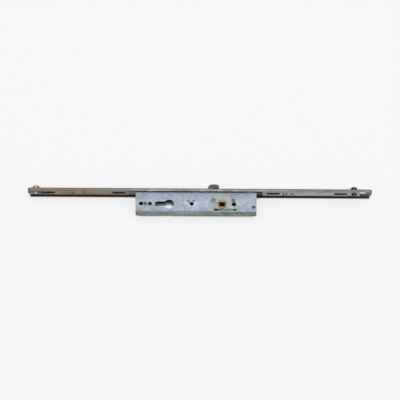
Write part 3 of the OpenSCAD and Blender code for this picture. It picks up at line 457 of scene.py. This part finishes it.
def wire(name, points, thickness, metal):
    """A round wire along the points, as a mesh piece."""
    curve = bpy.data.curves.new(name, "CURVE")
    curve.dimensions = "3D"
    curve.bevel_depth = thickness / 2
    curve.bevel_resolution = 3
    curve.use_fill_caps = True
    spline = curve.splines.new("POLY")
    spline.points.add(len(points) - 1)
    for point, target in zip(points, spline.points):
        target.co = (*point, 1)
    drawn = bpy.data.objects.new(name + "_curve", curve)
    mesh = bpy.data.meshes.new_from_object(drawn)
    bpy.data.objects.remove(drawn)
    mesh.shade_smooth()
    mesh.materials.clear()
    mesh.materials.append(metal.material)
    piece = bpy.data.objects.new(name, mesh)
    bpy.context.scene.collection.objects.link(piece)
    return piece


spring_wire = Metal("spring_wire", tint(110, 112, 116), tint(148, 151, 156), tint(190, 192, 196),
                    film=0.006, pitch=0.0003)
spring_wire.dress()
wire_d = 0.0007
spring_low, spring_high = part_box("latch_spring")
spring_middle = (spring_low + spring_high) / 2
coil_r = (spring_high.x - spring_low.x - wire_d) / 2
foot = Vector((spring_middle.x, spring_low.y + wire_d / 2, spring_middle.z))
latch_coil = coil(foot, Vector((0, 1, 0)), spring_high.y - spring_low.y - wire_d, coil_r,
                  turns=6, closed=1, rise=1.1 * wire_d)
latch_spring = wire("latch_spring_wire", latch_coil, wire_d, spring_wire)
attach(latch_spring, "case")
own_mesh(latch_spring)
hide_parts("latch_spring")

# Return slide
# A pressed steel bar under the cover, with a rib that shows in the cover's slot. Past both ends of the rib
# the bar is black with grease and painted shade under the cover. A nylon plug, coloured white as a painted
# glint, ends its travel.

rib_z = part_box("return_slide")[1].z
rib_r = 0.007
pressed = Metal("pressed_steel", tint(78, 82, 80), tint(106, 110, 108), tint(140, 144, 143), film=0.01)
pressed.coat(pressed.ramp(pressed.spot["X"], 0.0, 0.001 - rib_r), tint(136, 142, 139), 0.7)
past_rib = pressed.both(pressed.ramp(pressed.spot["Z"], rib_z - 0.0002, rib_z - 0.0006),
                        pressed.ramp(pressed.off(pressed.spot["X"]), rib_r, rib_r + 0.0006))
# Grease and painted shade: the bar past the rib, under the cover, black and dull
pressed.coat(past_rib, tint(8, 8, 8), 0.97, dull=True)
pressed.dress("return_slide", dirt_and_shade=0.3)
# Painted highlight: the plug's white stands in for a glint
nylon_glint = Metal("white_nylon_glint", tint(164, 168, 177), tint(184, 188, 197), tint(198, 201, 209),
              film=0.003, metallic=0.0)
nylon_glint.dress("slot_plug", dirt_and_shade=0.2)

# Return spring
# A drawn wire spring that hooks on the slide and on a tab of the cover, and stretches as the slide
# goes down.

spring_low, spring_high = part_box("return_spring")
spring_middle = (spring_low + spring_high) / 2
coil_r = (spring_high.y - spring_low.y - wire_d) / 2
hook = Vector((spring_low.x, spring_middle.y, spring_middle.z))
return_coil = coil(hook, Vector((1, 0, 0)), spring_high.x - spring_low.x, coil_r,
                   turns=14, closed=0, rise=0, lead=0.002)
return_spring = wire("return_spring_wire", return_coil, wire_d, spring_wire)
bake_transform(return_spring)
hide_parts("return_spring")

# Case cover
# The face of the case, bent over at its rear edge, in blue zinc plated steel riveted on the posts.
# The zinc has dulled in soft clouds, and a handle's rose has left a round stain of grease about the follower.

cover = Metal("cover_zinc", tint(127, 137, 151), tint(160, 171, 184), tint(178, 188, 200),
              film=0.016, pitch=0.0009)
violet = cover.marks((1, 1.6, 1), 45, 4, 0.6, turn=0.4)
cover.coat(cover.ramp(violet, 0.48, 0.68), tint(149, 153, 177), 0.65)
green = cover.marks((1.3, 1, 1), 60, 4, 0.5, turn=-0.6)
cover.coat(cover.ramp(green, 0.54, 0.70), tint(154, 168, 167), 0.55)
cover.coat(cover.along("Y", case_high.y - 0.022, case_high.y - 0.008), tint(126, 134, 160), 0.45)
cover.coat(cover.along("Y", case_low.y + 0.010, case_low.y + 0.002), tint(128, 137, 147), 0.4)
lower_corner = cover.both(cover.along("X", case_low.x + 0.035, case_low.x + 0.015),
                          cover.along("Y", 0.0, -0.008))
cover.coat(lower_corner, tint(130, 138, 152), 0.45)

# The rose's stain and its brighter rim
rose_x, rose_y, rose_r = 0.0015, 0.002, 0.0245
from_rose = cover.away(rose_x, rose_y)
stain = cover.ramp(from_rose, rose_r, rose_r - 0.003)
grease = cover.marks((1, 1, 1), 160, 5, 1.2)
cover.coat(cover.both(stain, cover.ramp(grease, 0.3, 0.6)), tint(146, 153, 136), 0.75)
rim = cover.ramp(cover.off(from_rose, rose_r), 0.0009, 0.0002)
cover.coat(cover.both(rim, cover.ramp(grease, 0.45, 0.6)), tint(168, 176, 184), 0.5)

# Small dark and bright mottles in the zinc
mottle = cover.marks((1, 1, 1), 150, 4, 1.0, turn=0.3)
cover.coat(cover.ramp(mottle, 0.50, 0.66), tint(120, 128, 140), 0.4)
cover.coat(cover.ramp(mottle, 0.46, 0.34), tint(176, 186, 196), 0.45)

# Bright zinc and scratches left round the middle screw hole by a driver, and scratches above the follower
hole_x, hole_y = mount_at["handle_screw_middle"][:2]
rubbed = cover.ramp(cover.away(hole_x, hole_y), 0.016, 0.006)
cover.coat(cover.both(rubbed, cover.ramp(grease, 0.4, 0.6)), tint(198, 206, 214), 0.5)
scratch = cover.marks((1, 0.35, 1), 420, 3, 0.8, turn=0.7)
scratched = ((hole_x - 0.005, hole_y + 0.005, 0.005), (hole_x + 0.003, hole_y + 0.006, 0.004),
             (0.0145, 0.0165, 0.005))
for x, y, reach in scratched:
    near = cover.ramp(cover.away(x, y), reach, reach / 2)
    cover.coat(cover.both(near, cover.ramp(scratch, 0.5, 0.58)), tint(70, 75, 82), 0.8)

# Darker rings left round the rivet heads
guide_rivet = (-0.015, 0.0083)
rings = ((guide_rivet, 0.0055), (upper_post, 0.0043), (end_post, 0.0040), (lower_post, 0.0036))
for middle, ring_r in rings:
    ring = cover.ramp(cover.away(*middle), ring_r, ring_r - 0.0015)
    cover.coat(cover.both(ring, cover.ramp(grease, 0.25, 0.5)), tint(108, 106, 104), 0.75)

# Dark rims painted round the outer screw holes and the small hole beside the lower one, as shade widening
# them
screw_hole_r, small_hole_r = 0.0035, 0.003
small_hole = (-0.125, 0.001)
holes = ((mount_at["handle_screw_lower"][:2], screw_hole_r),
         (mount_at["handle_screw_upper"][:2], screw_hole_r),
         (small_hole, small_hole_r))
for middle, hole_r in holes:
    cover.coat(cover.ramp(cover.away(*middle), hole_r + 0.0008, hole_r + 0.0003), tint(40, 42, 45), 0.85)

# Black at both ends of the bar's travel in the slot, each with its place along the slot and its reach
slot_y = -0.0100
ragged = cover.ramp(mottle, 0.3, 0.7, -0.0007, 0.0007)
for x, reach in ((-0.0103, 0.0030), (0.0236, 0.0026)):
    from_end = worked(cover.tree, "ADD", cover.away(x, slot_y), ragged)
    cover.coat(cover.ramp(from_end, reach, reach - 0.0012), tint(14, 16, 17), 0.95)

# Painted shade: dark underside and hole walls
rear_edge_w = 0.0018
under = cover.both(
    cover.ramp(cover.spot["Z"], case_high.z - 0.0001, case_high.z - 0.0003),
    cover.ramp(cover.spot["Y"], case_low.y + rear_edge_w, case_low.y + rear_edge_w + 0.0006))
between_ends = cover.band("X", case_low.x, case_high.x, 0.0002)
cover.coat(cover.both(under, between_ends), tint(22, 22, 22), 0.92, dull=True)
cover.dress("case_cover", dirt_and_shade=0.5)

# Rear wall
# A strip of the same sheet under the cover's round rear edge, dulled to an olive grey with darker smears
# and blots, and painted dark inside as shade.

rear = Metal("rear_zinc", tint(124, 131, 122), tint(154, 161, 156), tint(174, 180, 180),
             film=0.012, pitch=0.0009)
smear = rear.marks((0.5, 1, 1), 120, 4, 0.8)
rear.coat(rear.ramp(smear, 0.52, 0.70), tint(92, 100, 86), 0.6)
patches = rear.marks((0.4, 1, 1), 55, 3, 0.5)
rear.coat(rear.ramp(patches, 0.54, 0.66), tint(84, 92, 78), 0.6)
rear.coat(rear.ramp(patches, 0.46, 0.34), tint(172, 182, 192), 0.6)
rear.coat(rear.along("X", case_high.x - 0.035, case_high.x - 0.012), tint(112, 104, 98), 0.5)
blots = rear.marks((0.6, 1, 1), 260, 3, 0.5)
rear.coat(rear.ramp(blots, 0.57, 0.72), tint(58, 64, 52), 0.75)
rear.coat(rear.along("Z", case_low.z + 0.004, case_low.z), tint(98, 100, 96), 0.5)
# Painted shade inside the wall
rear.coat(rear.along("Y", case_low.y + wall / 2, case_low.y + wall), tint(34, 33, 32), 0.9, dull=True)
rear.dress("rear_wall", edges=0.0)

# Lower rails
# Drawn steel strip with a brown film of oil and dust, riveted in a half lap. Its slots are painted black
# as shade, and the strip is darker round the one at its end.

rail_low, rail_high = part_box("lower_rail")
edge_w = 0.002
end_slot_x, end_slot_reach, end_slot_h = -0.309, 0.014, 0.0034
brown = Metal("rail_brown", tint(138, 120, 107), tint(172, 153, 139), tint(196, 182, 170))
brown.coat(brown.along("X", case_low.x - 0.018, case_low.x - 0.008), tint(104, 98, 92), 0.6)
stains = brown.marks((0.3, 1, 1), 130, 4, 0.6, turn=0.02)
brown.coat(brown.ramp(stains, 0.57, 0.70), tint(108, 92, 78), 0.45)
near_slot = brown.both(brown.ramp(brown.away(end_slot_x, rail_low.y), end_slot_reach, end_slot_reach / 2),
                       brown.ramp(brown.off(brown.spot["Z"]), end_slot_h + 0.0022, end_slot_h))
brown.coat(near_slot, tint(54, 44, 38), 0.8)
# Painted shade on the slot walls
brown.coat(brown.walls(rail_low, rail_high, edge_w), tint(34, 28, 23), 0.9, dull=True)
brown.dress("lower_link", "lower_rail")

# The rivets of both rails, greyer towards the upper one
dark_rivet = Metal("rail_rivet", tint(70, 60, 52), tint(104, 92, 82), tint(140, 130, 120),
                   film=0.004, pitch=0.0004)
dark_rivet.coat(dark_rivet.along("X", -0.05, 0.05), tint(120, 119, 111), 0.75)
dark_rivet.dress("rail_rivets")

# Upper rails
# The same strip, galvanised and kept cleaner. Its neck is painted black as shade where it leaves the case,
# and so are its slots.

grey = Metal("rail_grey", tint(156, 154, 154), tint(196, 194, 193), tint(216, 215, 215))
stains = grey.marks((0.3, 1, 1), 120, 4, 0.6, turn=0.02)
grey.coat(grey.ramp(stains, 0.55, 0.68), tint(150, 147, 152), 0.5)
grey.coat(grey.ramp(stains, 0.44, 0.34), tint(212, 210, 198), 0.6)
grey.coat(grey.along("X", case_high.x + 0.024, case_high.x + 0.016), tint(132, 132, 136), 0.4)
# Painted shade on the neck beside the case
grey.coat(grey.along("X", case_high.x + 0.0115, case_high.x + 0.0095), tint(28, 30, 30), 0.9)
# Painted shade on the slot walls
grey.coat(grey.walls(*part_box("upper_rail"), edge_w), tint(28, 26, 24), 0.9, dull=True)
grey.dress("upper_link", "upper_rail")

# Roller cams
# Turned rollers on stepped pins that are riveted in the rails over a washer. The lower one is bright steel,
# the upper one still black with oil; both have painted shade on their sides and front and a painted
# highlight in the middle.

roller_low, roller_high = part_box("lower_roller")
roller_r = (roller_high.x - roller_low.x) / 2
roller_w = roller_high.y - roller_low.y
front_y = roller_high.y
turned = Metal("turned_steel", tint(112, 110, 107), tint(150, 147, 143), tint(188, 186, 182),
               film=0.006, pitch=0.0004)
here_y = turned.spot["Y"]
from_axis = turned.off(turned.spot["X"], (roller_low.x + roller_high.x) / 2)
# Painted shade on the roller's sides and front, and a painted highlight in the middle
turned.coat(turned.ramp(from_axis, 0.35 * roller_r, 0.7 * roller_r), tint(84, 81, 76), 0.75)
turned.coat(turned.ramp(here_y, front_y - 0.4 * roller_w, front_y - 0.1 * roller_w), tint(84, 81, 76), 0.7)
highlight = turned.both(turned.ramp(from_axis, 0.4 * roller_r, 0.15 * roller_r),
                    turned.ramp(here_y, front_y - 0.2 * roller_w, front_y - 0.5 * roller_w))
turned.coat(highlight, tint(214, 212, 208), 0.6)
turned.dress("lower_roller", "lower_cam_pin", "cam_washers")

roller_low, roller_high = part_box("upper_roller")
front_y = roller_high.y
oily = Metal("oily_cam", tint(19, 17, 12), tint(39, 35, 26), tint(88, 83, 70),
             film=0.006, pitch=0.0004, metallic=0.15)
here_y = oily.spot["Y"]
from_axis = oily.off(oily.spot["X"], (roller_low.x + roller_high.x) / 2)
cam_shade_black = tint(16, 15, 12)
# Painted shade on the roller's sides and front, and a painted highlight in the middle
oily.coat(oily.ramp(from_axis, 0.2 * roller_r, 0.4 * roller_r), cam_shade_black, 0.9, dull=True)
oily.coat(oily.ramp(here_y, front_y - 0.5 * roller_w, front_y - 0.3 * roller_w), cam_shade_black, 0.9, dull=True)
highlight = oily.both(oily.ramp(from_axis, 0.3 * roller_r, 0.1 * roller_r),
                  oily.ramp(here_y, front_y - 0.3 * roller_w, front_y - 0.5 * roller_w))
oily.coat(highlight, tint(150, 147, 138), 0.4)
oily.dress("upper_roller", "upper_cam_pin", edges=0.1)

# Bench, light and camera
# A white sheet under the lock, a wide soft lamp overhead and a little light from the room. The sheet and
# the room show paler than they light, and the sheet is shaded in hollows and close to the lock.

floor_size, floor_gap = 6.0, 0.0002
bpy.ops.mesh.primitive_plane_add(size=floor_size, location=(0, 0, cad_low.z - floor_gap))
floor = bpy.context.object
floor.name = "bench"
paper = bpy.data.materials.new("white_paper")
paper.use_nodes = True
sheet = paper.node_tree
sheet.nodes["Principled BSDF"].inputs["Base Color"].default_value = (0.92, 0.92, 0.92, 1)
sheet.nodes["Principled BSDF"].inputs["Roughness"].default_value = 0.9


def looked_at(tree):
    """1 for the rays that show the background: from the camera, a reflection or through glass."""
    rays = place(tree, "LightPath", {}, {}).outputs
    seen = worked(tree, "MAXIMUM", rays["Is Camera Ray"], rays["Is Glossy Ray"])
    return worked(tree, "MAXIMUM", seen, rays["Is Transmission Ray"])


hollow_reach, close_reach = 0.012, 0.004
closed_in = place(sheet, "AmbientOcclusion", {"samples": 16}, {"Distance": hollow_reach}).outputs["AO"]
touching = place(sheet, "AmbientOcclusion", {"samples": 16}, {"Distance": close_reach}).outputs["AO"]
lit = worked(sheet, "MULTIPLY", spread(sheet, closed_in, 0.30, 0.55, 0.12, 1.0),
             spread(sheet, touching, 0.4, 0.85, 0.2, 1.0))
glow = place(sheet, "Emission", {}, {"Color": (0.93, 0.93, 0.93, 1), "Strength": lit})
blend = place(sheet, "MixShader", {}, {0: spread(sheet, looked_at(sheet), 0, 1, 0, 0.78)})
sheet.links.new(sheet.nodes["Principled BSDF"].outputs[0], blend.inputs[1])
sheet.links.new(glow.outputs[0], blend.inputs[2])
sheet.links.new(blend.outputs[0], sheet.nodes["Material Output"].inputs["Surface"])
floor.data.materials.append(paper)

scene = bpy.context.scene
scene.view_settings.view_transform = "Standard"
world = bpy.data.worlds.new("room")
scene.world = world
world.use_nodes = True
room = world.node_tree.nodes["Background"]
room.inputs["Color"].default_value = (1, 1, 1, 1)
room_light, room_shown = 0.3, 0.93
strength = spread(world.node_tree, looked_at(world.node_tree), 0, 1, room_light, room_shown)
world.node_tree.links.new(strength, room.inputs["Strength"])

lamp = bpy.data.lights.new("overhead", "AREA")
lamp.shape = "RECTANGLE"
lamp.size, lamp.size_y = 4.5, 3.5
lamp.energy = 53
overhead = bpy.data.objects.new("overhead", lamp)
scene.collection.objects.link(overhead)
overhead.location = (-0.05, 0.3, 1.6)
overhead.visible_camera = False

picture_w = 0.6944
aim = Vector((-0.0382, 0.0066, 0.0116))
height = math.radians(62)
lean = math.radians(0.35)
lens, sensor = 300, 36
back = Vector((0, -math.cos(height), math.sin(height)))
level = Vector((1, 0, 0))
upward = back.cross(level)
side = level * math.cos(lean) + upward * math.sin(lean)
top = back.cross(side)
camera = bpy.data.objects.new("camera", bpy.data.cameras.new("camera"))
camera.data.lens = lens
camera.data.sensor_width = sensor
camera.matrix_world = Matrix.Translation(aim + back * picture_w * lens / sensor) @ Matrix(
    (side, top, back)).transposed().to_4x4()
scene.collection.objects.link(camera)
scene.camera = camera
